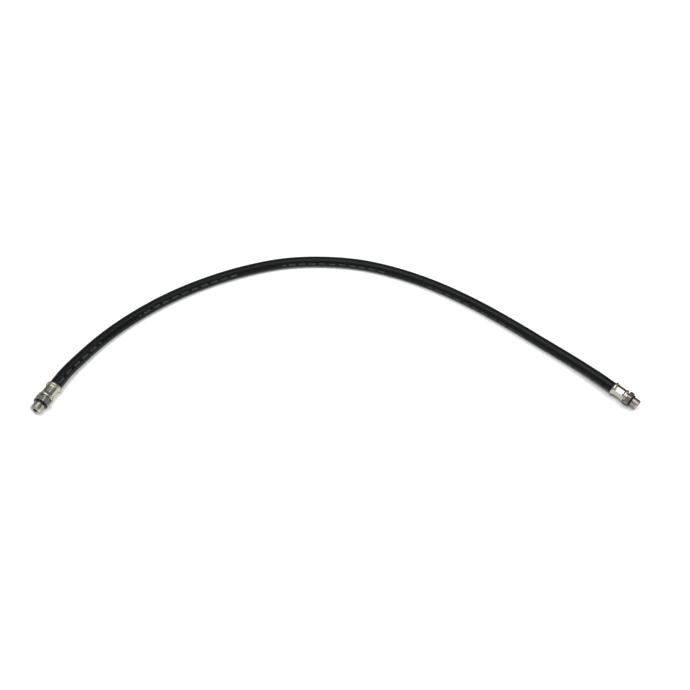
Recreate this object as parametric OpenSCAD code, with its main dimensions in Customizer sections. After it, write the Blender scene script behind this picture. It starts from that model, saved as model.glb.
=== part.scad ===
// Hydraulic hose assembly: a wire-braided rubber hose with a crimped male fitting at each end.
// One fitting is fixed, the other turns on its stem as a live swivel.
// Millimetres, +Z up. The assembly lies on the plane z = 0, its two fittings on the X axis.
// Each fitting is drawn along its own +Z, from the mouth of its ferrule (z = 0) to its tip.

/* [Hose] */
// Bore of the hose's inner tube
hose_bore = 6.3; // [6:0.1:6.6]
// Wall of the inner tube
tube_wall = 1; // [0.9:0.05:1.2]
// Wall of the steel wire braid
braid_wall = 0.5; // [0.4:0.05:0.6]
// Wall of the outer rubber cover
cover_wall = 1.35; // [1.2:0.05:1.5]
// Straight length of hose that leaves each ferrule
end_run = 12; // [8:1:16]

/* [Crimped ferrules] */
// Length of a ferrule
ferrule_len = 15.4; // [15.2:0.1:16.4]
// Wall of a ferrule under its crimp flats
ferrule_wall = 0.85; // [0.75:0.05:1]
// Height of the ferrule's lip above its crimp flats
lip_rise = 1.3; // [1.1:0.05:1.5]
// Height of the ferrule's closed end above its crimp flats
ring_rise = 1; // [0.8:0.05:1.1]
// Number of crimp flats around a ferrule
crimp_flats = 8; // [6:1:10]
// Distance from the ferrule's mouth to the level part of a crimp flat
flat_from_mouth = 5; // [4.8:0.1:6.2]
// Distance from the level part of a crimp flat to the ferrule's closed end
flat_from_end = 4.4; // [4.2:0.1:5.2]
// Radius with which a crimp flat runs out at its two ends
flat_runout_r = 4; // [3.6:0.1:4.6]
// Thickness of the wall that closes a ferrule round its stem
end_wall = 2; // [1.6:0.1:2.2]
// Rounding of the ferrule's lip
mouth_round = 1.3; // [1.2:0.1:1.6]
// Rounding of the ferrule's closed end
end_round = 0.7; // [0.4:0.1:0.9]
// How far the crimp presses the hose cover in, on the radius
crimp_squeeze = 0.65; // [0.5:0.05:0.75]
// Turn of the swivel end's crimp flats about its axis
swivel_crimp_turn = 7; // [0:1:45]
// Turn of the fixed end's crimp flats about its axis
fixed_crimp_turn = 33; // [0:1:45]

/* [Stems] */
// Bore through both stems
stem_bore = 3.8; // [3.4:0.1:4]
// How far a stem's tail stretches the inner tube, on the radius
tail_stretch = 0.2; // [0.1:0.05:0.3]
// Length of the barbed tail inside the hose
tail_len = 11; // [10:0.1:11.2]
// Number of barbs on a tail
barbs = 5; // [3:1:6]
// How far the tail's barbs and the ferrule's teeth bite into the hose
bite = 0.15; // [0.1:0.05:0.2]
// Diameter of the groove that the ferrule's closed end grips
lock_groove_d = 8; // [7.6:0.1:8.4]
// Thickness of the locking collar inside the ferrule
collar_len = 1.1; // [0.8:0.1:1.3]

/* [Threaded ends] */
// Major diameter of the male thread, 7/16 in
thread_d = 11.11; // [11.05:0.01:11.15]
// Length from the hexagon's face to the tip
stub_len = 9; // [8.8:0.1:10]
// Length of the chamfer at the tip of the thread
chamfer_len = 1.7; // [1.4:0.1:2]
// Depth of that chamfer on the radius
chamfer_depth = 1.15; // [0.9:0.05:1.3]
// Diameter of the undercut that holds the port O-ring
undercut_d = 9.2; // [9:0.1:9.3]
// Length of the undercut beyond the O-ring's cord
undercut_room = 0.25; // [0.25:0.05:0.6]
// Thickness of the port O-ring's cord
port_oring_cord = 1.83; // [1.7:0.01:1.9]
// Bore at the tip of both fittings
port_bore = 5; // [4.6:0.1:5.4]
// Width of the hexagons across their flats, 9/16 in
hex_af = 14.29; // [14.1:0.01:14.6]
// Length of the hexagons
hex_len = 4.8; // [4.5:0.1:5.4]
// Diameter of the neck between the fixed fitting's ferrule and hexagon
neck_d = 9.8; // [9.4:0.1:10.6]
// Length of the fixed fitting's neck
neck_len = 1.2; // [0.8:0.1:1.4]

/* [Swivel] */
// Gap between the ferrule and the turning hexagon
swivel_gap = 1.8; // [1.4:0.1:2.2]
// Diameter of the journal that the hexagon turns on
journal_d = 8.6; // [8.4:0.1:8.8]
// Thickness of the metal left between the journal's seat and the O-ring face
seat_floor = 0.9; // [0.8:0.1:1.1]
// Wire thickness of the snap ring
snap_wire = 0.9; // [0.8:0.05:1]
// Opening of the split snap ring, in degrees
snap_opening = 35; // [20:5:60]
// Diameter of the sealing nose
nose_d = 6.4; // [6.2:0.1:6.6]
// Length of the sealing nose
nose_len = 4.6; // [4.2:0.1:4.9]
// Distance from the nose's shoulder to its seal groove
seal_groove_at = 1.3; // [1:0.1:1.5]
// Diameter of the bottom of the seal groove
seal_groove_d = 5; // [4.9:0.05:5.1]
// Thickness of the seal O-ring's cord before it is squeezed
seal_cord = 1; // [0.9:0.05:1.1]
// Thickness of the backup ring
backup_len = 0.6; // [0.5:0.05:0.7]
// Radial clearance of the turning pieces
run_gap = 0.04; // [0.03:0.01:0.08]
// End play of the turning pieces
end_play = 0.12; // [0.1:0.01:0.3]

/* [Hidden] */
$fn = 96;

// A gap that keeps two fixed pieces from sharing a face
seat_gap = 0.02;
// How far a cutter passes a surface that it cuts
over = 1;

// Radii of the free hose, from the bore outwards
free_radii = [
    hose_bore / 2,
    hose_bore / 2 + tube_wall,
    hose_bore / 2 + tube_wall + braid_wall,
    hose_bore / 2 + tube_wall + braid_wall + cover_wall
];
hose_r = free_radii[3];

// The same radii inside a ferrule: the tail opens the bore, the crimp presses the cover in
tail_r = hose_bore / 2 + tail_stretch;
crimp_r = hose_r - crimp_squeeze;
wall_kept = (crimp_r - tail_r) / (hose_r - hose_bore / 2);
crimped_radii = [for (r = free_radii) tail_r + (r - free_radii[0]) * wall_kept];

// Ferrule
mouth_clear = 0.25;
flat_r = crimp_r + ferrule_wall;
ferrule_r = flat_r + lip_rise;
ring_r = flat_r + ring_rise;
mouth_hole_r = hose_r + mouth_clear;
bell_len = 2.2;
cavity_end = ferrule_len - end_wall;
lock_r = lock_groove_d / 2;

// Stem, inside the hose: its tail is a little thinner than its barbs and tapers at its tip
collar_clear = 0.3;
collar_end = cavity_end - seat_gap;
collar_start = collar_end - collar_len;
collar_r = crimp_r - collar_clear;
hose_end = collar_start - 0.2;
tail_tip = collar_start - tail_len;
tail_core_r = tail_r - 0.1;
tip_taper_r = 0.4;
tip_taper_len = 0.6;
barb_len = 1.2;
barb_back = 0.1;
barb_from = tail_tip + 2 * tip_taper_len;
barb_pitch = (collar_start - barb_from - barb_back) / barbs;

// Threaded ends
thread_r = thread_d / 2;
undercut_r = undercut_d / 2;
undercut_len = port_oring_cord + undercut_room;
undercut_slope = 60;
tip_sink = 0.7;

// Fixed fitting, from its mouth
fixed_hex = ferrule_len + neck_len;
fixed_face = fixed_hex + hex_len;
fixed_len = fixed_face + stub_len;

// Swivel fitting, from its mouth
swivel_hex = ferrule_len + swivel_gap;
swivel_face = swivel_hex + hex_len;
swivel_len = swivel_face + stub_len;
journal_r = journal_d / 2;
seat_end = swivel_face - seat_floor;
nose_r = nose_d / 2;
nose_from = seat_end - end_play;
nose_end = nose_from + nose_len;
snap_at = (swivel_hex + seat_end) / 2;
groove_from = nose_from + seal_groove_at;
groove_r = seal_groove_d / 2;
seal_squeezed = nose_r - groove_r;
seal_len = seal_cord * 1.1;
groove_len = backup_len + seal_len + 0.2;
flange_rim = 0.9;

// Height of both fittings' axes when they lie on the surface
axis_z = max(hex_af / 2, ferrule_r);

// Mouth of each ferrule on the surface, and the heading from the fitting into the hose
swivel_mouth = [-284.3, 14];
swivel_heading = 66;
fixed_mouth = [278.5, 8.7];
fixed_heading = 130;

// The hose's centre line from the swivel end to the fixed end, between its two straight ends:
// x, y, and the height of the hose's underside above the surface
route = [
    [-265, 51, 0.6], [-244, 81, 0.1], [-216, 111, 0], [-189, 134, 0], [-151, 159, 0],
    [-108, 180, 0], [-60, 195, 0], [-17, 199, 0], [29, 195, 0], [71, 182, 0],
    [113, 161, 0], [152, 134, 0], [189, 102, 0], [221, 71, 0], [250, 42, 0.4]
];

// ---- the hose's path ----

function heading_vector(a) = [cos(a), sin(a), 0];
function on_axis(mouth, a, d) = [mouth[0], mouth[1], axis_z] + d * heading_vector(a);

swivel_out = heading_vector(swivel_heading);
fixed_in = -heading_vector(fixed_heading);
knots = concat(
    [on_axis(swivel_mouth, swivel_heading, end_run)],
    [for (p = route) [p[0], p[1], p[2] + hose_r]],
    [on_axis(fixed_mouth, fixed_heading, end_run)]
);
last = len(knots) - 1;

// Direction of the path at a knot: the two neighbouring chords' directions, each weighted
// by the other chord's length, and the fitting's own direction at each end
function chord(i) = knots[i + 1] - knots[i];
function knot_direction(i) =
    i == 0 ? swivel_out :
    i == last ? fixed_in :
    let (a = chord(i - 1), b = chord(i), la = norm(a), lb = norm(b))
        (a / la * lb + b / lb * la) / (la + lb);

// Point on the cubic between knots i and i + 1, t from 0 to 1
function cubic(i, t) =
    let (l = norm(chord(i)))
        knots[i] * (2 * t * t * t - 3 * t * t + 1)
        + knots[i + 1] * (3 * t * t - 2 * t * t * t)
        + knot_direction(i) * l * (t * t * t - 2 * t * t + t)
        + knot_direction(i + 1) * l * (t * t * t - t * t);

fine_steps = 8;
fine = concat(
    [for (i = [0 : last - 1]) for (k = [0 : fine_steps - 1]) cubic(i, k / fine_steps)],
    [knots[last]]
);
function running_length(i, total = 0, out = [0]) =
    i == len(fine) - 1 ? out :
    let (next = total + norm(fine[i + 1] - fine[i]))
        running_length(i + 1, next, concat(out, [next]));
along = running_length(0);
path_len = along[len(along) - 1];

// Rings stand about 3 hose diameters apart along the path
ring_count = ceil(path_len / (6 * hose_r));
function path_point(s) =
    [for (axis = [0 : 2]) lookup(s, [for (i = [0 : len(fine) - 1]) [along[i], fine[i][axis]]])];
function path_direction(s) =
    let (step = 2, d = path_point(s + step) - path_point(s - step))
        d / norm(d);

// Every station of the sweep: [point, direction, true inside a crimp]
function end_station(mouth, a, d, travel, crimped) = [on_axis(mouth, a, d), travel, crimped];
stations = concat(
    [
        end_station(swivel_mouth, swivel_heading, -hose_end, swivel_out, true),
        end_station(swivel_mouth, swivel_heading, -bell_len, swivel_out, true),
        end_station(swivel_mouth, swivel_heading, 0, swivel_out, false)
    ],
    [
        for (k = [0 : ring_count])
            let (s = path_len * k / ring_count)
                [
                    path_point(s),
                    k == 0 ? swivel_out : k == ring_count ? fixed_in : path_direction(s),
                    false
                ]
    ],
    [
        end_station(fixed_mouth, fixed_heading, 0, fixed_in, false),
        end_station(fixed_mouth, fixed_heading, -bell_len, fixed_in, true),
        end_station(fixed_mouth, fixed_heading, -hose_end, fixed_in, true)
    ]
);
assembly_len = path_len + 2 * end_run + swivel_len + fixed_len;
echo(hose_od = 2 * hose_r, free_hose = path_len + 2 * end_run, overall = assembly_len);

// One layer of the hose: two surfaces swept along the stations, closed by a flat ring at each end
sides = 12;
function station_ring(s, r) =
    let (side = cross([0, 0, 1], s[1]), across = side / norm(side), up = cross(s[1], across))
        [for (k = [0 : sides - 1]) let (a = 360 * k / sides) s[0] + r * (cos(a) * across + sin(a) * up)];

module hose_layer(i) {
    n = len(stations);
    outer = [for (s = stations) each station_ring(s, (s[2] ? crimped_radii : free_radii)[i + 1])];
    inner = [for (s = stations) each station_ring(s, (s[2] ? crimped_radii : free_radii)[i])];
    function at(j, k) = j * sides + k % sides;
    base = n * sides;
    outer_faces = [
        for (j = [0 : n - 2]) for (k = [0 : sides - 1])
            each [
                [at(j, k), at(j, k + 1), at(j + 1, k + 1)],
                [at(j, k), at(j + 1, k + 1), at(j + 1, k)]
            ]
    ];
    inner_faces = [for (f = outer_faces) [base + f[0], base + f[2], base + f[1]]];
    first_end = [
        for (k = [0 : sides - 1])
            each [
                [at(0, k), base + at(0, k), base + at(0, k + 1)],
                [at(0, k), base + at(0, k + 1), at(0, k + 1)]
            ]
    ];
    last_end = [
        for (k = [0 : sides - 1])
            each [
                [at(n - 1, k), base + at(n - 1, k + 1), base + at(n - 1, k)],
                [at(n - 1, k), at(n - 1, k + 1), base + at(n - 1, k + 1)]
            ]
    ];
    polyhedron(
        points = concat(outer, inner),
        faces = concat(outer_faces, inner_faces, first_end, last_end)
    );
}

// ---- placing a fitting ----

// Lays a fitting's own +Z along the surface, from the ferrule's mouth out to the tip
module at_end(mouth, heading) {
    translate([mouth[0], mouth[1], axis_z]) rotate([0, 90, heading + 180]) children();
}
module at_swivel_end() { at_end(swivel_mouth, swivel_heading) children(); }
module at_fixed_end() { at_end(fixed_mouth, fixed_heading) children(); }

// ---- pieces that both fittings share ----

// Outside of a ferrule before the crimp: a lip and a closed end, both rounded, meeting halfway
module ferrule_blank() {
    middle = ferrule_len / 2;
    rotate_extrude() {
        square([ferrule_r - mouth_round, mouth_round]);
        translate([ferrule_r - mouth_round, mouth_round]) circle(mouth_round);
        translate([0, mouth_round]) square([ferrule_r, middle - mouth_round]);
        translate([0, middle]) square([ring_r, ferrule_len - middle - end_round]);
        translate([0, ferrule_len - end_round]) square([ring_r - end_round, end_round]);
        translate([ring_r - end_round, ferrule_len - end_round]) circle(end_round);
    }
}

// Inside of a ferrule: bell mouth, toothed bore for the hose, and the hole that grips the stem
module ferrule_bore() {
    tooth_pitch = 2.4;
    tooth_len = 0.9;
    first_tooth = bell_len + 0.6;
    teeth = floor((collar_start - first_tooth) / tooth_pitch);
    rotate_extrude()
        polygon(concat(
            [[0, -over], [mouth_hole_r, -over], [mouth_hole_r, bell_len / 2], [crimp_r, bell_len]],
            [
                for (i = [0 : teeth - 1])
                    let (z = first_tooth + i * tooth_pitch)
                        each [
                            [crimp_r, z], [crimp_r - bite, z + tooth_len / 3],
                            [crimp_r, z + tooth_len]
                        ]
            ],
            [
                [crimp_r, cavity_end], [lock_r + seat_gap, cavity_end],
                [lock_r + seat_gap, ferrule_len + over], [0, ferrule_len + over]
            ]
        ));
}

// One crimping jaw's print: level in the middle, with a rounded run-out at each end
module crimp_print() {
    level_end = ferrule_len - flat_from_end;
    jaw_w = 2 * ferrule_r;
    rotate([90, 0, 0]) linear_extrude(jaw_w, center = true) {
        translate([flat_r, flat_from_mouth])
            square([2 * flat_runout_r, level_end - flat_from_mouth]);
        for (z = [flat_from_mouth, level_end])
            translate([flat_r + flat_runout_r, z]) circle(flat_runout_r);
    }
}

module ferrule(turn) {
    difference() {
        ferrule_blank();
        ferrule_bore();
        for (k = [0 : crimp_flats - 1])
            rotate(turn + k * 360 / crimp_flats) crimp_print();
    }
}

// Profile points of a stem from its tail's tip to the end of the groove that the ferrule grips
function tail_profile() = concat(
    [[tail_core_r - tip_taper_r, tail_tip], [tail_core_r, tail_tip + tip_taper_len]],
    [
        for (i = [0 : barbs - 1])
            let (z = barb_from + i * barb_pitch)
                each [
                    [tail_core_r, z], [tail_r + bite, z + barb_len],
                    [tail_core_r, z + barb_len + barb_back]
                ]
    ],
    [
        [tail_core_r, collar_start], [collar_r, collar_start],
        [collar_r, collar_end], [lock_r, collar_end]
    ]
);

// Hexagon with its corners chamfered at both ends, its flats level when the fitting lies down
module hexagon(z) {
    corner_r = hex_af / sqrt(3);
    cap_r = hex_af / 2 - 0.2;
    slope = tan(30);
    rise = (corner_r + over - cap_r) * slope;
    translate([0, 0, z]) intersection() {
        rotate(30) cylinder(h = hex_len, r = corner_r, $fn = 6);
        rotate_extrude()
            polygon([
                [0, 0], [cap_r, 0], [corner_r + over, rise],
                [corner_r + over, hex_len - rise], [cap_r, hex_len], [0, hex_len]
            ]);
    }
}

// Threaded stub: undercut for the O-ring, then the thread at its major diameter
module stub(face) {
    lead = (thread_r - undercut_r) / tan(undercut_slope);
    tip = face + stub_len;
    rotate_extrude()
        polygon([
            [0, face - over], [undercut_r, face - over], [undercut_r, face + undercut_len - lead],
            [thread_r, face + undercut_len], [thread_r, tip - chamfer_len],
            [thread_r - chamfer_depth, tip], [0, tip]
        ]);
}

// The tip's bore with a small countersink
module tip_bore(from, tip) {
    bore_r = port_bore / 2;
    rotate_extrude()
        polygon([
            [0, from], [bore_r, from], [bore_r, tip - tip_sink],
            [bore_r + tip_sink, tip], [bore_r + tip_sink, tip + over], [0, tip + over]
        ]);
}

// O-ring seated in the undercut, against the hexagon's face
module port_oring(face) {
    cord_r = port_oring_cord / 2;
    rotate_extrude()
        translate([undercut_r + seat_gap + cord_r, face + seat_gap + cord_r]) circle(cord_r);
}

// ---- hose ----

module hose_cover() {
    color([0.10, 0.11, 0.11]) hose_layer(2);
}

module hose_wire_braid() {
    color([0.62, 0.62, 0.60]) hose_layer(1);
}

module hose_inner_tube() {
    color([0.16, 0.16, 0.17]) hose_layer(0);
}

// ---- fixed fitting ----

module fixed_end_ferrule() {
    color([0.80, 0.80, 0.75]) at_fixed_end() ferrule(fixed_crimp_turn);
}

module fixed_end_stem() {
    neck_from = ferrule_len + seat_gap;
    color([0.55, 0.56, 0.57]) at_fixed_end() difference() {
        union() {
            rotate_extrude()
                polygon(concat(
                    [[0, tail_tip]], tail_profile(),
                    [
                        [lock_r, neck_from], [neck_d / 2, neck_from],
                        [neck_d / 2, fixed_hex + over], [0, fixed_hex + over]
                    ]
                ));
            hexagon(fixed_hex);
            stub(fixed_face);
        }
        translate([0, 0, tail_tip - over]) cylinder(h = fixed_len, d = stem_bore);
        tip_bore(fixed_hex, fixed_len);
    }
}

module fixed_end_port_oring() {
    color([0.05, 0.05, 0.05]) at_fixed_end() port_oring(fixed_face);
}

// ---- swivel fitting ----

module swivel_end_ferrule() {
    color([0.80, 0.80, 0.75]) at_swivel_end() ferrule(swivel_crimp_turn);
}

// Stem of the swivel: flange behind the hexagon, journal with the snap ring's groove, sealing nose
module swivel_end_stem() {
    flange_from = ferrule_len + seat_gap;
    flange_end = swivel_hex - end_play;
    flange_r = journal_r + flange_rim;
    nose_chamfer = 0.3;
    color([0.62, 0.62, 0.60]) at_swivel_end() difference() {
        rotate_extrude()
            polygon(concat(
                [[0, tail_tip]], tail_profile(),
                [
                    [lock_r, flange_from], [flange_r, flange_from], [flange_r, flange_end],
                    [journal_r, flange_end], [journal_r, nose_from], [nose_r, nose_from],
                    [nose_r, groove_from], [groove_r, groove_from],
                    [groove_r, groove_from + groove_len], [nose_r, groove_from + groove_len],
                    [nose_r, nose_end - nose_chamfer], [nose_r - nose_chamfer, nose_end],
                    [0, nose_end]
                ]
            ));
        translate([0, 0, tail_tip - over]) cylinder(h = swivel_len, d = stem_bore);
        rotate_extrude() translate([journal_r, snap_at]) circle(snap_wire / 2 + run_gap);
    }
}

// Turning body of the swivel: hexagon and thread outside, journal seat and seal bore inside
module swivel_end_body() {
    seal_bore_end = nose_end + 2 * end_play;
    color([0.55, 0.56, 0.57]) at_swivel_end() difference() {
        union() {
            hexagon(swivel_hex);
            stub(swivel_face);
        }
        rotate_extrude()
            polygon([
                [0, swivel_hex - over], [journal_r + run_gap, swivel_hex - over],
                [journal_r + run_gap, seat_end], [nose_r + run_gap, seat_end],
                [nose_r + run_gap, seal_bore_end], [0, seal_bore_end]
            ]);
        rotate_extrude() translate([journal_r, snap_at]) circle(snap_wire / 2 + seat_gap);
        tip_bore(seal_bore_end - over, swivel_len);
    }
}

module swivel_end_port_oring() {
    color([0.05, 0.05, 0.05]) at_swivel_end() port_oring(swivel_face);
}

// Split ring of round wire, half in the body's groove and half in the stem's
module swivel_snap_ring() {
    color([0.70, 0.70, 0.72]) at_swivel_end()
        rotate(snap_opening / 2) rotate_extrude(angle = 360 - snap_opening)
            translate([journal_r, snap_at]) circle(snap_wire / 2);
}

// Seal O-ring, drawn squeezed between the groove and the body's bore
module swivel_seal_oring() {
    mid_r = groove_r + seat_gap + (seal_squeezed - seat_gap) / 2;
    mid_z = groove_from + groove_len - seal_len / 2 - seat_gap;
    color([0.05, 0.05, 0.05]) at_swivel_end()
        rotate_extrude() translate([mid_r, mid_z]) intersection() {
            circle(seal_len / 2);
            square([seal_squeezed - seat_gap, seal_len], center = true);
        }
}

// Flat plastic ring that keeps the O-ring out of the gap on its unpressured side
module swivel_backup_ring() {
    color([0.90, 0.90, 0.86]) at_swivel_end()
        rotate_extrude()
            translate([groove_r + seat_gap, groove_from + seat_gap])
                square([seal_squeezed - seat_gap, backup_len]);
}

hose_cover();
hose_wire_braid();
hose_inner_tube();
fixed_end_ferrule();
fixed_end_stem();
fixed_end_port_oring();
swivel_end_ferrule();
swivel_end_stem();
swivel_end_body();
swivel_end_port_oring();
swivel_snap_ring();
swivel_seal_oring();
swivel_backup_ring();
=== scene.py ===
from collections import namedtuple

import bpy
import numpy as np
from mathutils import Matrix, Vector


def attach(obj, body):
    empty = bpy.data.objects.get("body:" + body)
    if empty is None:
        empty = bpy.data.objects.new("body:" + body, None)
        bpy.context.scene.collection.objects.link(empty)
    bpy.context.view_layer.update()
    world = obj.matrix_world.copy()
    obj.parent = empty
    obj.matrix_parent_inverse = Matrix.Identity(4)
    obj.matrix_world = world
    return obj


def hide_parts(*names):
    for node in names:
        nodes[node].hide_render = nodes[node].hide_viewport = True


# Looks of a hydraulic hose assembly: a rubber hose in an open arc, with a crimped fitting at
# each end. Everything is in metres, in the CAD's frame; a fitting's own sizes are in millimetres.
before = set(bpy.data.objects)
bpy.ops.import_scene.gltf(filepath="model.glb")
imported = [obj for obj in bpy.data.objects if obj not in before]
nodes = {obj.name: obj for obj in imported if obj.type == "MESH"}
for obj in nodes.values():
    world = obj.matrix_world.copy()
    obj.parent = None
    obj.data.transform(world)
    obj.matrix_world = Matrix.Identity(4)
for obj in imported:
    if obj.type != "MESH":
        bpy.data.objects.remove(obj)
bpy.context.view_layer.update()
MM = 0.001

# ---- sizes that the part's source also holds ----

# Hose, in mm: radii from the bore outwards, free and squeezed inside a ferrule, how far each end
# goes into its ferrule, and the length at the ferrule's mouth over which it is squeezed
FREE_RADII = (3.15, 4.15, 4.65, 6.0)
CRIMPED_RADII = (3.35, 4.05, 4.4, 5.35)
HOSE_IN_FERRULE, BELL_LEN = 12.08, 2.2

# Height of the fittings' axes, and the hose's straight run out of each ferrule
AXIS_HEIGHT, END_RUN = 0.0075, 0.012

# The hose's centre line between its two straight ends: x, y and the height of its underside
ROUTE = np.array([
    (-0.265, 0.051, 0.0006), (-0.244, 0.081, 0.0001), (-0.216, 0.111, 0), (-0.189, 0.134, 0),
    (-0.151, 0.159, 0), (-0.108, 0.180, 0), (-0.060, 0.195, 0), (-0.017, 0.199, 0),
    (0.029, 0.195, 0), (0.071, 0.182, 0), (0.113, 0.161, 0), (0.152, 0.134, 0),
    (0.189, 0.102, 0), (0.221, 0.071, 0), (0.250, 0.042, 0.0004),
])

# Each fitting: its ferrule's mouth on the surface, the heading in degrees from there into the
# hose, the turn of the crimping dies in degrees round its axis, and where its hexagon starts, in mm
Fitting = namedtuple("Fitting", "mouth heading crimp_turn hex_at")
SWIVEL = Fitting(mouth=(-0.2843, 0.0140), heading=66, crimp_turn=7, hex_at=17.2)
FIXED = Fitting(mouth=(0.2785, 0.0087), heading=130, crimp_turn=33, hex_at=16.6)

# Ferrule, along its own axis from its mouth, in mm
FERRULE_LEN, FERRULE_R, RING_R = 15.4, 7.5, 7.2
MOUTH_HOLE_R, MOUTH_ROUND, END_ROUND = 6.25, 1.3, 0.7
CRIMP_BORE_R, END_WALL, STEM_HOLE_R = 5.35, 2.0, 4.02
CRIMP_FLATS, FLAT_R, FLAT_FROM, FLAT_TO, RUNOUT_R = 8, 6.2, 5.0, 11.0, 4.0

# Hexagon, O-ring undercut, 7/16-20 thread and bores, in mm
HEX_AF, HEX_LEN = 14.29, 4.8
THREAD_R, THREAD_PITCH, THREAD_DEPTH = 5.555, 1.27, 0.66
UNDERCUT_R, UNDERCUT_LEN, UNDERCUT_LEAD = 4.6, 2.08, 0.55
STUB_LEN, CHAMFER_LEN, CHAMFER_DEPTH = 9.0, 1.7, 1.15
PORT_BORE_R, TIP_SINK, STEM_BORE_R = 2.5, 0.7, 1.9
ORING_CORD_R, SEAT_GAP = 0.915, 0.02

# ---- sizes of the finish, in mm ----

# Die prints: how flat they are across (0 is round, 1 is a plane), the fins left between them, their
# softened edges, the depth of cut that burnishes, and the lip's face that the dies don't reach
DIE_FLATNESS, FIN_HEIGHT, FIN_WIDTH = 0.3, 0.14, 0.22
PRINT_EDGE, BURNISH_DEPTH, LIP_FACE = 0.12, 0.5, 0.19
# Softened edges of the hexagon and the thread, and how wide and how far the corners are brightened,
# partly as wear and partly as a painted highlight
CORNER_EDGE, CHAMFER_EDGE, THREAD_EDGE, WEAR_HIGHLIGHT_WIDTH, WEAR_HIGHLIGHT_SHARE = 0.45, 0.05, 0.06, 0.5, 0.8


# ---- camera ----

def aim(lens, place, target, roll):
    """A camera at place that looks at target, level at first and then rolled about its line of
    sight by roll degrees."""
    data = bpy.data.cameras.new("camera")
    data.lens, data.sensor_width = lens, 36
    camera = bpy.data.objects.new("camera", data)
    bpy.context.scene.collection.objects.link(camera)
    turn = (Vector(target) - Vector(place)).to_track_quat("-Z", "Y").to_matrix().to_4x4()
    level = Matrix.Translation(place) @ turn
    camera.matrix_world = level @ Matrix.Rotation(np.radians(roll), 4, "Z")
    bpy.context.scene.camera = camera


aim(lens=36.4, place=(-0.1071, -0.4131, 0.5537), target=(-0.0005, 0.0739, 0), roll=9.46)


# ---- surfaces ----

def ring_solid(name, points, uv, smooth_below=35, **marks):
    """A closed solid from points[row, column]: the rows are rings, and both the rows and the columns
    run round and meet themselves, so it has no ends and no poles. uv holds one more row and column
    than points, so that a pattern runs on past the seam. Each mark is a value per point."""
    rows, columns = points.shape[:2]
    i, j = np.meshgrid(np.arange(rows), np.arange(columns), indexing="ij")
    corners = [(i, j), (i, j + 1), (i + 1, j + 1), (i + 1, j)]
    quads = np.stack([(a % rows) * columns + b % columns for a, b in corners], -1).reshape(-1, 4)
    uvs = np.stack([uv[a, b] for a, b in corners], 2).reshape(-1, 4, 2)
    flat = points.reshape(-1, 3)
    # The volume under the faces is below zero when they point inwards
    p, q, r, s = (flat[quads[:, k]] for k in range(4))
    volume = np.einsum("ij,ij->i", p, np.cross(q, r) + np.cross(r, s)).sum()
    if volume < 0:
        quads, uvs = quads[:, ::-1], uvs[:, ::-1]
    mesh = bpy.data.meshes.new(name)
    mesh.vertices.add(len(flat))
    mesh.vertices.foreach_set("co", flat.astype(np.float32).ravel())
    mesh.loops.add(quads.size)
    mesh.loops.foreach_set("vertex_index", quads.astype(np.int32).ravel())
    mesh.polygons.add(len(quads))
    mesh.polygons.foreach_set("loop_start", np.arange(0, quads.size, 4, dtype=np.int32))
    mesh.update(calc_edges=True)
    layer = mesh.uv_layers.new(name="surface")
    layer.data.foreach_set("uv", uvs.astype(np.float32).ravel())
    for mark, values in marks.items():
        attribute = mesh.attributes.new(mark, "FLOAT", "POINT")
        attribute.data.foreach_set("value", values.astype(np.float32).ravel())
    mesh.shade_smooth()
    mesh.set_sharp_from_angle(angle=np.radians(smooth_below))
    piece = bpy.data.objects.new(name, mesh)
    bpy.context.scene.collection.objects.link(piece)
    return piece


def distances(points):
    """Distance along a line of points from the first one to each."""
    return np.concatenate([[0], np.cumsum(np.linalg.norm(np.diff(points, axis=0), axis=1))])


def straight(start, *legs):
    """Straight lines from start (z, r) to the end of each leg (z, r, step), as points about step
    apart. The last end is left out, because what follows in the profile starts there."""
    ends = np.array([start, *(leg[:2] for leg in legs)], float)
    lines = []
    for a, b, (*_, step) in zip(ends, ends[1:], legs):
        n = max(1, int(np.ceil(np.linalg.norm(b - a) / step - 1e-6)))
        lines.append(a + (b - a) * (np.arange(n) / n)[:, None])
    return np.vstack(lines)


def arc(centre, radius, start, end, n=6):
    """Points on an arc round centre from angle start up to but not including end, as (z, r)."""
    a = np.radians(start + (end - start) * np.arange(n) / n)
    return np.array(centre) + radius * np.stack([np.cos(a), np.sin(a)], 1)


def lesser(a, b, blend):
    """The lesser of a and b, with the edge between them rounded over about blend: half of their sum
    less the root of their difference squared plus blend squared."""
    return (a + b - np.sqrt((a - b) ** 2 + blend ** 2)) / 2


def stand(z, r, angle, fitting):
    """A fitting's own points (z along its axis from the ferrule's mouth, r and angle round it, in mm)
    laid on the surface: z points out of the hose, and angle 0 points down."""
    a = np.radians(fitting.heading + 180)
    out = np.array([np.cos(a), np.sin(a), 0])
    side = np.array([-np.sin(a), np.cos(a), 0])
    down = np.array([0, 0, -1])
    at = np.array([*fitting.mouth, AXIS_HEIGHT])
    return at + MM * (
        z[..., None] * out
        + (r * np.cos(angle))[..., None] * down
        + (r * np.sin(angle))[..., None] * side
    )


def turned(name, profile, fitting, columns, first=0, shape=None, **options):
    """A closed profile of (z, r) points turned round a fitting's axis, from the angle first. shape
    changes the radius at each (z, r, angle), and gives marks for the material. uv is (round the
    axis, along the profile), both in metres."""
    around = np.radians(first + 360 * np.arange(columns) / columns)
    z, angle = np.meshgrid(profile[:, 0], around, indexing="ij")
    r = np.repeat(profile[:, 1][:, None], columns, 1)
    marks = {}
    if shape:
        r, marks = shape(z, r, angle)
    along = MM * distances(np.concatenate([profile, profile[:1]]))
    turn = 2 * np.pi * MM * profile[:, 1].max() * np.arange(columns + 1) / columns
    uv = np.stack(np.meshgrid(turn, along), -1)
    return ring_solid(name, stand(z, r, angle, fitting), uv, **marks, **options)


# ---- hose ----

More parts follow.
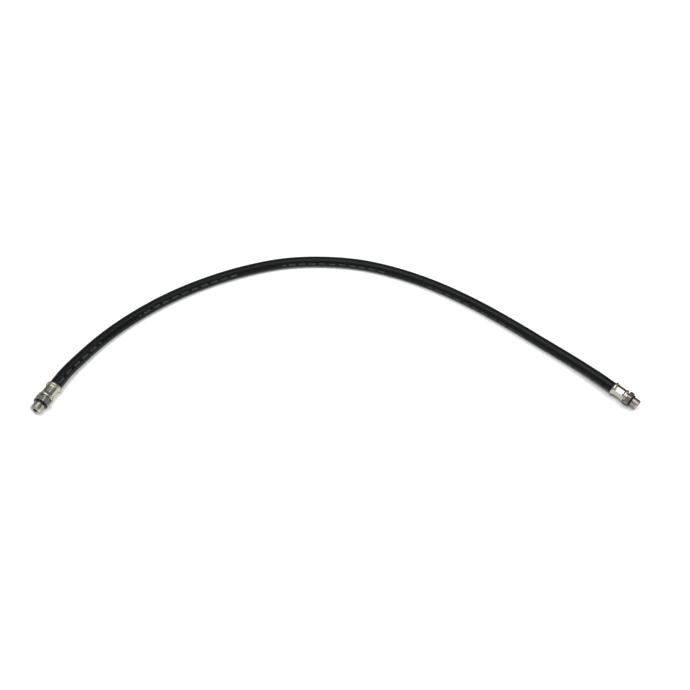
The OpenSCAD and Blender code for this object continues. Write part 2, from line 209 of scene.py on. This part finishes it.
def hose_line():
    """Points along the hose's centre line, from its end in one ferrule to its end in the other, and
    how far each is inside a ferrule, in mm. Between the straight ends it is a chain of cubics: the
    direction at a knot is that of its two chords, each weighted by the other's length."""
    mouths, ways = [], []
    for fitting in (SWIVEL, FIXED):
        a = np.radians(fitting.heading)
        mouths.append(np.array([*fitting.mouth, AXIS_HEIGHT]))
        ways.append(np.array([np.cos(a), np.sin(a), 0]))
    middle = ROUTE + [0, 0, MM * FREE_RADII[3]]
    knots = np.vstack([mouths[0] + END_RUN * ways[0], middle, mouths[1] + END_RUN * ways[1]])
    chords = np.diff(knots, axis=0)
    lengths = np.linalg.norm(chords, axis=1)[:, None]
    units, before, after = chords / lengths, lengths[:-1], lengths[1:]
    inner = (units[:-1] * after + units[1:] * before) / (before + after)
    directions = np.vstack([ways[0], inner, -ways[1]])
    t = (np.arange(16) / 16)[None, :, None]
    curve = (
        knots[:-1, None] * (2 * t ** 3 - 3 * t ** 2 + 1)
        + knots[1:, None] * (3 * t ** 2 - 2 * t ** 3)
        + (directions[:-1] * lengths)[:, None] * (t ** 3 - 2 * t ** 2 + t)
        + (directions[1:] * lengths)[:, None] * (t ** 3 - t ** 2)
    ).reshape(-1, 3)
    # Rings of each straight end by their depth in the ferrule, closest where the squeeze begins
    inside = np.array([HOSE_IN_FERRULE, 8, 4, BELL_LEN, 1.5, 0.8, 0, -3, -6, -9])
    ends = [mouth - MM * inside[:, None] * way for mouth, way in zip(mouths, ways)]
    centre = np.vstack([ends[0], curve, knots[-1:], ends[1][::-1]])
    outside = np.full(len(curve) + 1, -END_RUN / MM)
    return centre, np.concatenate([inside, outside, inside[::-1]])


def hose_layer(name, layer, columns):
    """One layer of the hose: its outer surface swept along the centre line and its inner surface
    swept back, joined by a flat ring at each end. Inside the ferrules it is squeezed. The angle
    round the hose is 0 on top and grows towards the inside of the arc, with the seam underneath."""
    centre, inside = hose_line()
    way = np.gradient(centre, axis=0)
    way /= np.linalg.norm(way, axis=1)[:, None]
    side = np.cross(way, [0, 0, 1])
    side /= np.linalg.norm(side, axis=1)[:, None]
    up = np.cross(side, way)
    squeeze = np.clip(inside / BELL_LEN, 0, 1)
    angle = np.radians(-180 + 360 * np.arange(columns) / columns)
    round_it = np.cos(angle)[:, None] * up[:, None] + np.sin(angle)[:, None] * side[:, None]
    rings = []
    for k in (layer + 1, layer):
        r = MM * (FREE_RADII[k] + squeeze * (CRIMPED_RADII[k] - FREE_RADII[k]))
        rings.append(centre[:, None] + r[:, None, None] * round_it)
    points = np.concatenate([rings[0], rings[1][::-1]])
    length = distances(centre)
    along = np.concatenate([length, length[::-1], length[:1]])
    across = MM * FREE_RADII[layer + 1] * np.linspace(-np.pi, np.pi, columns + 1)
    uv = np.stack(np.meshgrid(across, along), -1)
    return ring_solid(name, points, uv, smooth_below=60), centre, length[-1]


# ---- fittings ----

def crimped(crimp_turn):
    """Shape of a ferrule's outside, cut by the crimping dies. Each print keeps the flat's radius at
    its middle, moves out towards its edges by a share of what a plane would, one over the cosine
    of the angle, and runs out on an arc at both ends. A thin fin of metal stands in each gap
    between dies, a bell curve across it. The mark pressed grows with the depth of the cut."""

    def shape(z, r, angle):
        step = 2 * np.pi / CRIMP_FLATS
        off = (angle - np.radians(crimp_turn) + step / 2) % step - step / 2
        past = np.maximum(np.maximum(FLAT_FROM - z, z - FLAT_TO), 0)
        rise = RUNOUT_R - np.sqrt(np.maximum(RUNOUT_R ** 2 - past ** 2, 0))
        from_gap = (step / 2 - np.abs(off)) * FLAT_R
        fin = FIN_HEIGHT * np.exp(-((from_gap / FIN_WIDTH) ** 2))
        print_r = (FLAT_R + rise) * (1 + DIE_FLATNESS * (1 / np.cos(off) - 1)) + fin
        # The bore and the lip's face keep their shape
        outside = (r > MOUTH_HOLE_R - 0.01) & (z > LIP_FACE)
        cut = np.where(outside, lesser(r, print_r, PRINT_EDGE), r)
        pressed = np.clip((FERRULE_R - print_r) / BURNISH_DEPTH, 0, 1)
        return cut, {"pressed": np.where(outside, pressed, 0)}

    return shape


def ferrule(name, fitting):
    """A ferrule: rounded lip, body pressed by the dies, rounded closed end, and the bore inside."""
    # The mouth's bore is a shade under size, so that crimped can tell it from the outside
    mouth_r, lip_r = MOUTH_HOLE_R - 0.02, FERRULE_R - MOUTH_ROUND
    lip_from = 180 - np.degrees(np.arcsin((MOUTH_HOLE_R - lip_r) / MOUTH_ROUND))
    lip_z = MOUTH_ROUND + MOUTH_ROUND * np.cos(np.radians(lip_from))
    body_end, end_r, cavity = FERRULE_LEN - END_ROUND, RING_R - END_ROUND, FERRULE_LEN - END_WALL
    middle = FERRULE_LEN / 2
    profile = np.vstack([
        arc((MOUTH_ROUND, lip_r), MOUTH_ROUND, lip_from, 90, 10),
        straight((MOUTH_ROUND, FERRULE_R), (middle, FERRULE_R, 0.15)),
        straight((middle, RING_R), (body_end, RING_R, 0.15)),
        arc((body_end, end_r), END_ROUND, 90, 0),
        straight(
            (FERRULE_LEN, end_r),
            (FERRULE_LEN, STEM_HOLE_R, 1),
            (cavity, STEM_HOLE_R, 1),
            (cavity, CRIMP_BORE_R, 1),
            (BELL_LEN, CRIMP_BORE_R, 2),
            (BELL_LEN / 2, mouth_r, 1),
            (lip_z, mouth_r, 1),
        ),
    ])
    turn = fitting.crimp_turn
    first = turn + 180 / CRIMP_FLATS
    return turned(name, profile, fitting, 256, first, crimped(turn), smooth_below=50)


def threaded(hex_at):
    """Shape of a threaded end: its outside is cut by the hexagon's six flats, with softened corners,
    and by the thread's helical groove, whose flanks meet at 60 degrees. A flat's radius is half the
    width across flats over the cosine of the angle from its middle, and the groove deepens with the
    distance from the crest along the pitch, which moves on by one pitch a turn. The mark it gives
    is 1 on the hexagon and falls near its corners, which are brightened partly as handling wear and
    partly as a painted highlight."""
    face = hex_at + HEX_LEN
    near, cap_depth = 0.001, 0.25

    def shape(z, r, angle):
        sixth, half = np.pi / 3, HEX_AF / 2
        off = np.abs((angle + sixth / 2) % sixth - sixth / 2)
        flats = lesser(half / np.cos(off), half / np.cos(sixth - off), CORNER_EDGE)
        on_hex = (z > hex_at - near) & (z < face + near) & (r > half - cap_depth)
        hexed = np.where(on_hex, lesser(r, flats, CHAMFER_EDGE), r)
        # In pitches: the distance from the crest, which is an eighth wide to each side, and a flank
        turn = (z / THREAD_PITCH - angle / (2 * np.pi)) % 1
        from_crest = np.minimum(turn, 1 - turn)
        flank = THREAD_DEPTH * np.tan(np.radians(30)) / THREAD_PITCH
        groove = THREAD_DEPTH * np.clip((from_crest - 1 / 8) / flank, 0, 1)
        on_thread = (z > face + 1) & (r > UNDERCUT_R)
        cut = np.where(on_thread, lesser(hexed, THREAD_R - groove, THREAD_EDGE), hexed)
        # Bright corners: partly handling wear, partly a painted highlight along each corner
        wear_and_highlight = np.exp(-((np.abs(off - sixth / 2) * half / WEAR_HIGHLIGHT_WIDTH) ** 2))
        return cut, {"bar_skin_less_corner_highlight": on_hex * (1 - WEAR_HIGHLIGHT_SHARE * wear_and_highlight)}

    return shape


def end_profile(hex_at, hex_start_r):
    """Outline of a threaded end: hexagon with 30-degree chamfers, undercut, thread, tip and the
    sink into its bore."""
    corner_r, cap_r = HEX_AF / np.sqrt(3) + 0.1, HEX_AF / 2 - 0.2
    rise = (corner_r - cap_r) * np.tan(np.radians(30))
    face = hex_at + HEX_LEN
    tip = face + STUB_LEN
    thread_from = face + UNDERCUT_LEN
    return straight(
        (hex_at, hex_start_r),
        (hex_at, cap_r, 1),
        (hex_at + rise, corner_r, 0.06),
        (face - rise, corner_r, 0.8),
        (face, cap_r, 0.06),
        (face, UNDERCUT_R, 1),
        (thread_from - UNDERCUT_LEAD, UNDERCUT_R, 0.5),
        (thread_from, THREAD_R, 0.07),
        (tip - CHAMFER_LEN, THREAD_R, 0.07),
        (tip, THREAD_R - CHAMFER_DEPTH, 0.07),
        (tip, PORT_BORE_R + TIP_SINK, 1),
        (tip - TIP_SINK, PORT_BORE_R, 0.2),
    )


def swivel_body(name):
    """The turning body: hexagon and thread outside, journal seat with the snap ring's groove, and
    the seal's bore inside."""
    seat_r, seal_r, seat_end, seal_end, snap_at = 4.34, 3.24, 21.1, 25.82, 19.15
    groove_r, journal_r = 0.47, 4.3
    open_at = np.degrees(np.arcsin((seat_r - journal_r) / groove_r))
    half_width = groove_r * np.cos(np.radians(open_at))
    hex_at = SWIVEL.hex_at
    sink_end = hex_at + HEX_LEN + STUB_LEN - TIP_SINK
    profile = np.vstack([
        end_profile(hex_at, seat_r),
        straight(
            (sink_end, PORT_BORE_R),
            (seal_end, PORT_BORE_R, 1),
            (seal_end, seal_r, 1),
            (seat_end, seal_r, 1),
            (seat_end, seat_r, 1),
            (snap_at + half_width, seat_r, 1),
        ),
        arc((snap_at, journal_r), groove_r, open_at, 180 - open_at, 10),
        straight((snap_at - half_width, seat_r), (hex_at, seat_r, 1)),
    ])
    return turned(name, profile, SWIVEL, 192, 30, threaded(hex_at))


def fixed_stem(name):
    """The one-piece stem: barbed tail, locking collar, groove for the ferrule's closed end, neck,
    hexagon, thread and the stepped bore."""
    tail_tip, tip_len, tip_depth, core_r, barb_r = 1.28, 0.6, 0.4, 3.25, 3.5
    collar_from, collar_to, collar_r, lock_r, neck_from, neck_r = 12.28, 13.38, 5.05, 4.0, 15.42, 4.9
    barb_len, barb_back, barbs = 1.2, 0.1, 5
    barb_from = tail_tip + 2 * tip_len
    pitch = (collar_from - barb_from - barb_back) / barbs
    tail = []
    for start in barb_from + pitch * np.arange(barbs):
        top = start + barb_len
        tail += [(start, core_r, 2), (top, barb_r, 2), (top + barb_back, core_r, 1)]
    hex_at = FIXED.hex_at
    sink_end = hex_at + HEX_LEN + STUB_LEN - TIP_SINK
    profile = np.vstack([
        straight(
            (tail_tip, STEM_BORE_R),
            (tail_tip, core_r - tip_depth, 1),
            (tail_tip + tip_len, core_r, 1),
            *tail,
            (collar_from, core_r, 2),
            (collar_from, collar_r, 1),
            (collar_to, collar_r, 2),
            (collar_to, lock_r, 1),
            (neck_from, lock_r, 1),
            (neck_from, neck_r, 1),
            (hex_at, neck_r, 0.3),
        ),
        end_profile(hex_at, neck_r),
        straight(
            (sink_end, PORT_BORE_R),
            (hex_at, PORT_BORE_R, 2),
            (hex_at, STEM_BORE_R, 1),
            (tail_tip, STEM_BORE_R, 3),
        ),
    ])
    return turned(name, profile, FIXED, 192, 30, threaded(hex_at))


def port_oring(name, fitting):
    """An O-ring: a round cord bent round the undercut, against the hexagon's face."""
    seat = SEAT_GAP + ORING_CORD_R
    centre = (fitting.hex_at + HEX_LEN + seat, UNDERCUT_R + seat)
    return turned(name, arc(centre, ORING_CORD_R, 0, 360, 24), fitting, 96)


# ---- materials ----

def linear(hex_colour):
    """sRGB hex to linear red, green, blue and alpha: near black by one factor, and by a power of 2.4
    above that."""
    srgb = np.array([int(hex_colour[k:k + 2], 16) for k in (1, 3, 5)]) / 255
    low, high = srgb / 12.92, ((srgb + 0.055) / 1.055) ** 2.4
    return (*np.where(srgb <= 0.04045, low, high), 1)


def feed(socket, value):
    """Links an input to value where that is a node's output, and otherwise sets it to value."""
    if isinstance(value, bpy.types.NodeSocket):
        socket.id_data.links.new(value, socket)
    else:
        socket.default_value = value


def add(owner, kind, *values, out=None, **named):
    """Adds a shader node, such as Math or MapRange, to a material or a world. values go to the
    inputs that the node shows, in their order. A name with a capital is an input too, and any other
    is a setting. Returns the output called out, or else the first that the node shows."""
    node = owner.node_tree.nodes.new("ShaderNode" + kind)
    for key, value in named.items():
        if key[0].isupper():
            feed(node.inputs[key], value)
        else:
            setattr(node, key, value)
    shown = [socket for socket in node.inputs if socket.enabled]
    for socket, value in zip(shown, values):
        feed(socket, value)
    return node.outputs[out] if out else next(socket for socket in node.outputs if socket.enabled)


def new_material(name):
    """A material with a plain shader, for finish to feed."""
    material = bpy.data.materials.new(name)
    material.use_nodes = True
    return material


def finish(material, **inputs):
    """Feeds the inputs of a material's shader, named with _ for a space."""
    shader = material.node_tree.nodes["Principled BSDF"]
    for key, value in inputs.items():
        feed(shader.inputs[key.replace("_", " ")], value)
    return material


def surface_uv(material):
    """The piece's own surface coordinates, both in metres: round it, and along it."""
    around = add(material, "SeparateXYZ", add(material, "UVMap", uv_map="surface"))
    return around, around.node.outputs["Y"]


def cover_rubber():
    """Oil-resistant synthetic rubber cover, cured under a tape wrap: dark satin, with a faint grain,
    wide soft bands from the wrap, and a plain dashed lay line in grey ink that winds slowly round."""
    material = new_material("cover_rubber")
    around, along = surface_uv(material)
    place = add(material, "TexCoord", out="Object")
    # The lay line starts 45 degrees off the top and winds round by 88 degrees a metre
    start, twist = MM * FREE_RADII[3] * np.radians(45), MM * FREE_RADII[3] * np.radians(88)
    middle = add(material, "Math", along, twist, start, operation="MULTIPLY_ADD")
    off = add(material, "Math", around, middle, operation="SUBTRACT")
    off = add(material, "Math", off, operation="ABSOLUTE")
    stripe = add(material, "MapRange", off, 0.7 * MM, 0.95 * MM, 1, 0)
    # Dashes 8 mm long every 12 mm, and a bare stretch of 52 mm in every 178 mm
    dash = add(material, "Math", along, 6 * MM, operation="PINGPONG")
    dashes = add(material, "MapRange", dash, 1.9 * MM, 2.2 * MM)
    group = add(material, "Math", along, 75.6 * MM, operation="ADD")
    group = add(material, "Math", group, 88.9 * MM, operation="PINGPONG")
    groups = add(material, "MapRange", group, 26 * MM, 26.4 * MM)
    # Specks of 1.6 mm where the ink has worn off
    wear = add(material, "TexNoise", place, 1 / (1.6 * MM), 3.0)
    kept = add(material, "MapRange", wear, 0.38, 0.58, 0.3, 1)
    ink = add(material, "Math", stripe, dashes, operation="MULTIPLY")
    ink = add(material, "Math", ink, groups, operation="MULTIPLY")
    ink = add(material, "Math", ink, kept, operation="MULTIPLY")
    # Large soft patches of handling marks, a little lighter and duller
    patches = add(material, "TexNoise", place, 1 / (35 * MM), 4.0)
    handled = add(material, "MapRange", patches, 0.4, 0.7)
    clean, dusty, grey_ink = linear("#080a0b"), linear("#0b0d0e"), linear("#484e51")
    rubber = add(material, "Mix", handled, clean, dusty, data_type="RGBA")
    # Grain of about half a millimetre, and the tape's 30 mm bands winding round the hose
    grain = add(material, "TexNoise", place, 1 / (0.5 * MM), 2.0)
    wound = add(material, "Math", around, 0.8, along, operation="MULTIPLY_ADD")
    band = add(material, "Math", wound, 15 * MM, operation="PINGPONG")
    edge = add(material, "MapRange", band, 0, 0.6 * MM)
    height = add(material, "Math", grain, 0.25, edge, operation="MULTIPLY_ADD")
    return finish(
        material,
        Base_Color=add(material, "Mix", ink, rubber, grey_ink, data_type="RGBA"),
        Roughness=add(material, "MapRange", patches, 0.3, 0.7, 0.30, 0.42),
        Normal=add(material, "Bump", 0.35, 0.06 * MM, Height=height),
        Specular_IOR_Level=0.13,
    )


def tube_rubber():
    """Extruded nitrile inner tube: smooth dull black, with faint die lines along it."""
    material = new_material("tube_rubber")
    around = surface_uv(material)[0]
    lines = add(material, "TexNoise", around, 1 / (0.4 * MM), noise_dimensions="1D")
    dark, light = linear("#1a1a1b"), linear("#242425")
    return finish(
        material,
        Base_Color=add(material, "Mix", lines, dark, light, data_type="RGBA"),
        Roughness=0.55,
        Normal=add(material, "Bump", 0.3, 0.03 * MM, Height=lines),
    )


def braid_wire():
    """Brass-coated steel wire, braided in flat crossing bands: bright strands, darkened towards their
    edges by painted shade where they meet.
    """
    material = new_material("braid_wire")
    around, along = surface_uv(material)
    # Bands 2.4 mm wide of strands 0.3 mm wide cross at 54 degrees either side of the axis
    slope, half_band, half_strand = 1.376, 1.2 * MM, 0.15 * MM
    left = add(material, "Math", along, slope, around, operation="MULTIPLY_ADD")
    right = add(material, "Math", along, -slope, around, operation="MULTIPLY_ADD")
    left_band = add(material, "Math", left, half_band, operation="PINGPONG")
    right_band = add(material, "Math", right, half_band, operation="PINGPONG")
    over = add(material, "Math", left_band, right_band, operation="SUBTRACT")
    over = add(material, "MapRange", over, -0.1 * MM, 0.1 * MM)
    strands = add(material, "Mix", over, left, right)
    strands = add(material, "Math", strands, half_strand, operation="PINGPONG")
    height = add(material, "MapRange", strands, 0, half_strand)
    # Painted shade: the colour darkens from each strand's middle to its edges, where the strands meet
    painted_gap_shade, crest = linear("#6b5a36"), linear("#cbb987")
    return finish(
        material,
        Base_Color=add(material, "Mix", height, painted_gap_shade, crest, data_type="RGBA"),
        Metallic=1,
        Roughness=0.3,
        Normal=add(material, "Bump", 1.0, 0.1 * MM, Height=height),
    )


# Tint of the plating's shine at grazing angles, where it is duller than clean bare metal
EDGE_TINT = (0.3, 0.3, 0.3, 1)


def ferrule_plating(name, *tints):
    """Zinc-plated soft steel, pressed by crimping dies: bright and faintly warm, in a haze of two
    tints that differ from batch to batch. The pressed flats are burnished, and the free ends keep a
    hazier plating and fine turned rings."""
    material = new_material(name)
    around, along = surface_uv(material)
    place = add(material, "TexCoord", out="Object")
    pressed = add(material, "Attribute", out="Fac", attribute_name="pressed")
    haze = add(material, "TexNoise", place, 1 / (2.5 * MM), 5.0)
    free = add(material, "MapRange", haze, 0.3, 0.7, 0.2, 0.3)
    flat = add(material, "MapRange", haze, 0.3, 0.7, 0.1, 0.18)
    # Turned rings 0.18 mm apart on the free ends, and die drag along the flats
    rings = add(material, "TexNoise", along, 1 / (0.18 * MM), noise_dimensions="1D")
    drag = add(material, "TexNoise", around, 1 / (0.35 * MM), noise_dimensions="1D")
    height = add(material, "Mix", pressed, rings, drag)
    return finish(
        material,
        Base_Color=add(material, "Mix", haze, *map(linear, tints), data_type="RGBA"),
        Metallic=1,
        Roughness=add(material, "Mix", pressed, free, flat),
        Normal=add(material, "Bump", 0.35, 0.02 * MM, Height=height),
        Specular_Tint=EDGE_TINT,
    )


def fitting_steel(name, *tints):
    """Free-cutting steel, turned and zinc-plated: bright on the turned surfaces, in a haze of two
    tints that differ from batch to batch, with a duller, darker skin where the hexagonal bar is left
    as drawn. Along the hexagon's corners the bright steel returns: partly wear, partly a painted
    highlight."""
    material = new_material(name)
    place = add(material, "TexCoord", out="Object")
    # This mark falls near the hexagon's corners, which then take the bright steel: partly wear, partly
    # a painted highlight
    bar = add(material, "Attribute", out="Fac", attribute_name="bar_skin_less_corner_highlight")
    haze = add(material, "TexNoise", place, 1 / (1.8 * MM), 5.0)
    bright = add(material, "Mix", haze, *map(linear, tints), data_type="RGBA")
    skin = add(material, "Mix", haze, linear("#6c6b6a"), linear("#7b7a79"), data_type="RGBA")
    smooth = add(material, "MapRange", haze, 0.3, 0.7, 0.12, 0.2)
    dull = add(material, "MapRange", haze, 0.3, 0.7, 0.36, 0.48)
    return finish(
        material,
        Base_Color=add(material, "Mix", bar, bright, skin, data_type="RGBA"),
        Metallic=1,
        Roughness=add(material, "Mix", bar, smooth, dull),
        Normal=add(material, "Bump", 0.2, 0.04 * MM, Height=haze),
        Specular_Tint=EDGE_TINT,
    )


def clouded(name, size, detail, tints, roughness, **inputs):
    """A material whose colour and roughness drift together in soft clouds, size mm across, each from
    the first of its two values to the second."""
    material = new_material(name)
    place = add(material, "TexCoord", out="Object")
    cloud = add(material, "TexNoise", place, 1 / (size * MM), detail)
    return finish(
        material,
        Base_Color=add(material, "Mix", cloud, *map(linear, tints), data_type="RGBA"),
        Roughness=add(material, "MapRange", cloud, 0.3, 0.7, *roughness),
        **inputs,
    )


def seal_rubber():
    """Moulded nitrile O-ring, lightly oiled: near black, smooth, with a soft shine."""
    return clouded(
        "seal_rubber",
        size=1.5,
        detail=3,
        tints=("#080808", "#101010"),
        roughness=(0.28, 0.45),
        Specular_IOR_Level=0.3,
    )


def spring_wire():
    """Hard-drawn spring steel: bright, with fine flecks from the drawing die."""
    return clouded(
        "spring_wire",
        size=0.2,
        detail=2,
        tints=("#a7a8aa", "#d2d3d5"),
        roughness=(0.2, 0.35),
        Metallic=1,
    )


def backup_plastic():
    """Skived PTFE: waxy white and slightly cloudy."""
    return clouded(
        "backup_plastic",
        size=0.8,
        detail=3,
        tints=("#dcdbd2", "#efeee8"),
        roughness=(0.35, 0.5),
        IOR=1.38,
    )


# ---- the object ----

def register(piece, material, slot, body, *replaced):
    """Gives a new piece its material and its body, and hides the nodes it stands for. slot is not
    used.
    """
    piece.data.materials.append(material)
    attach(piece, body)
    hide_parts(*replaced)


cover, centre_line, hose_length = hose_layer("rubber_cover", layer=2, columns=64)
braid = hose_layer("wire_braid", layer=1, columns=32)[0]
tube = hose_layer("inner_tube", layer=0, columns=32)[0]
register(cover, cover_rubber(), "hose_cover_rubber", "hose", "hose_cover")
register(braid, braid_wire(), "braid_wire", "hose", "hose_wire_braid")
register(tube, tube_rubber(), "tube_rubber", "hose", "hose_inner_tube")

swivel_plating = ferrule_plating("ferrule_plating_warm", "#a6a495", "#b6b4a7")
fixed_plating = ferrule_plating("ferrule_plating_pale", "#a7a399", "#b7b3aa")
swivel_steel = fitting_steel("fitting_steel_warm", "#a6a59a", "#b6b5ab")
fixed_steel = fitting_steel("fitting_steel_pale", "#aaa39f", "#bab3b0")
seal = seal_rubber()

for end, fitting, plating in (
    ("swivel", SWIVEL, swivel_plating),
    ("fixed", FIXED, fixed_plating),
):
    sleeve = ferrule(f"{end}_end_crimped_ferrule", fitting)
    register(sleeve, plating, "ferrule_plating", "hose", f"{end}_end_ferrule")

body = swivel_body("swivel_end_threaded_body")
stem = fixed_stem("fixed_end_threaded_stem")
register(body, swivel_steel, "fitting_steel", "swivel", "swivel_end_body")
register(stem, fixed_steel, "fitting_steel", "hose", "fixed_end_stem")

swivel_oring = port_oring("swivel_end_oring", SWIVEL)
fixed_oring = port_oring("fixed_end_oring", FIXED)
register(swivel_oring, seal, "seal_rubber", "swivel", "swivel_end_port_oring")
register(fixed_oring, seal, "seal_rubber", "hose", "fixed_end_port_oring")

# The pieces inside the swivel keep their CAD shape
for name, material in (
    ("swivel_end_stem", swivel_steel),
    ("swivel_snap_ring", spring_wire()),
    ("swivel_seal_oring", seal),
    ("swivel_backup_ring", backup_plastic()),
):
    nodes[name].data.materials.clear()
    nodes[name].data.materials.append(material)


# ---- studio ----

def panel(name, points, quads):
    """A surface of the studio, which is no piece of the object."""
    mesh = bpy.data.meshes.new(name)
    mesh.from_pydata(points, [], quads)
    piece = bpy.data.objects.new(name, mesh)
    bpy.context.scene.collection.objects.link(piece)
    return piece


def seen_white(owner):
    """1 for the rays that see the background itself: camera, glossy and transmission rays."""
    ray = add(owner, "LightPath").node.outputs
    seen = add(owner, "Math", ray["Is Camera Ray"], ray["Is Glossy Ray"], operation="MAXIMUM")
    return add(owner, "Math", seen, ray["Is Transmission Ray"], operation="MAXIMUM")


def paper_floor():
    """A white paper sweep, wide enough to fill the view. Where it is seen it also glows: faintly
    round the right end, more towards the left end, and up to white further away, where the lamps no
    longer reach it. The glow is the sum of two ramps of distance, from the right end and from the
    middle."""
    half, right_end, middle = 4, (0.26, 0.06, 0), (0, 0.06, 0)
    square = [(-half, -half, 0), (half, -half, 0), (half, half, 0), (-half, half, 0)]
    floor = panel("paper_floor", square, [(0, 1, 2, 3)])
    material = new_material("paper")
    place = add(material, "TexCoord", out="Object")
    to_right_end = add(material, "VectorMath", place, right_end, operation="DISTANCE")
    to_middle = add(material, "VectorMath", place, middle, operation="DISTANCE")
    near = add(material, "MapRange", to_right_end, 0.1, 0.55, 0.07, 0.26)
    far = add(material, "MapRange", to_middle, 0.28, 0.55, 0, 0.74)
    glow = add(material, "Math", near, far, operation="ADD")
    seen_glow = add(material, "Math", seen_white(material), glow, operation="MULTIPLY")
    finish(
        material,
        Base_Color=(0.94, 0.94, 0.94, 1),
        Roughness=1,
        Specular_IOR_Level=0,
        Emission_Color=(1, 1, 1, 1),
        Emission_Strength=seen_glow,
    )
    floor.data.materials.append(material)


def white_room(strength):
    """World: white where it is seen, and a soft fill of the given strength for everything else."""
    world = bpy.data.worlds.new("room")
    bpy.context.scene.world = world
    world.use_nodes = True
    background = world.node_tree.nodes["Background"]
    feed(background.inputs["Color"], (1, 1, 1, 1))
    level = add(world, "MapRange", seen_white(world), 0, 1, strength, 1)
    feed(background.inputs["Strength"], level)


def ring_of_flags():
    """Cards that stand in a ring round the set and glow, dark grey at the back and paler towards the
    front and the top, seen only in reflections: painted reflections in place of a studio's flags."""
    radius = 2.6
    azimuth = np.radians(np.linspace(0, 360, 49))
    elevation = np.radians(np.linspace(6, 52, 8))
    a, e = np.meshgrid(azimuth, elevation)
    points = radius * np.stack([np.cos(a) * np.cos(e), np.sin(a) * np.cos(e), np.sin(e)], -1)
    rows, columns = a.shape
    i, j = np.meshgrid(np.arange(rows - 1), np.arange(columns - 1), indexing="ij")
    first = i * columns + j
    quads = np.stack([first, first + 1, first + columns + 1, first + columns], -1)
    card = panel("flags", points.reshape(-1, 3).tolist(), quads.reshape(-1, 4).tolist())
    material = new_material("glowing_flag_reflection")
    place = add(material, "TexCoord", out="Object")
    frontness = add(material, "VectorMath", place, (-0.2, -0.6, 0.8), operation="DOT_PRODUCT")
    # Painted reflection: the cards are black and glow, dimly at the back and brighter towards the
    # front and top
    finish(
        material,
        Base_Color=(0, 0, 0, 1),
        Specular_IOR_Level=0,
        Emission_Color=(1, 1, 0.97, 1),
        Emission_Strength=add(material, "MapRange", frontness, -0.5, 2.2, 0.08, 0.66),
    )
    card.data.materials.append(material)
    card.visible_camera = card.visible_diffuse = card.visible_shadow = False
    card.visible_transmission = False


def soft_box(name, size, place, target, watts, glossy=True):
    """A rectangular soft light that faces target."""
    data = bpy.data.lights.new(name, "AREA")
    data.shape, data.size, data.size_y, data.energy = "RECTANGLE", *size, watts
    lamp = bpy.data.objects.new(name, data)
    bpy.context.scene.collection.objects.link(lamp)
    lamp.location = place
    lamp.rotation_mode = "QUATERNION"
    lamp.rotation_quaternion = (Vector(target) - Vector(place)).to_track_quat("-Z", "Y")
    lamp.visible_glossy = glossy


# One large lamp overhead gives the highlights, and two small ones only fill the shadows
paper_floor()
white_room(0.1)
ring_of_flags()
soft_box("overhead", size=(1.5, 1.4), place=(-0.3, 0, 1.6), target=(-0.3, 0, 0), watts=16)
soft_box(
    "left",
    size=(0.45, 0.45),
    place=(-0.42, -0.1, 0.9),
    target=(-0.15, 0.08, 0),
    watts=4,
    glossy=False,
)
soft_box(
    "right",
    size=(0.3, 0.3),
    place=(0.6, 0.05, 0.75),
    target=(0.1, 0.08, 0),
    watts=3.3,
    glossy=False,
)
bpy.context.scene.view_settings.view_transform = "Standard"
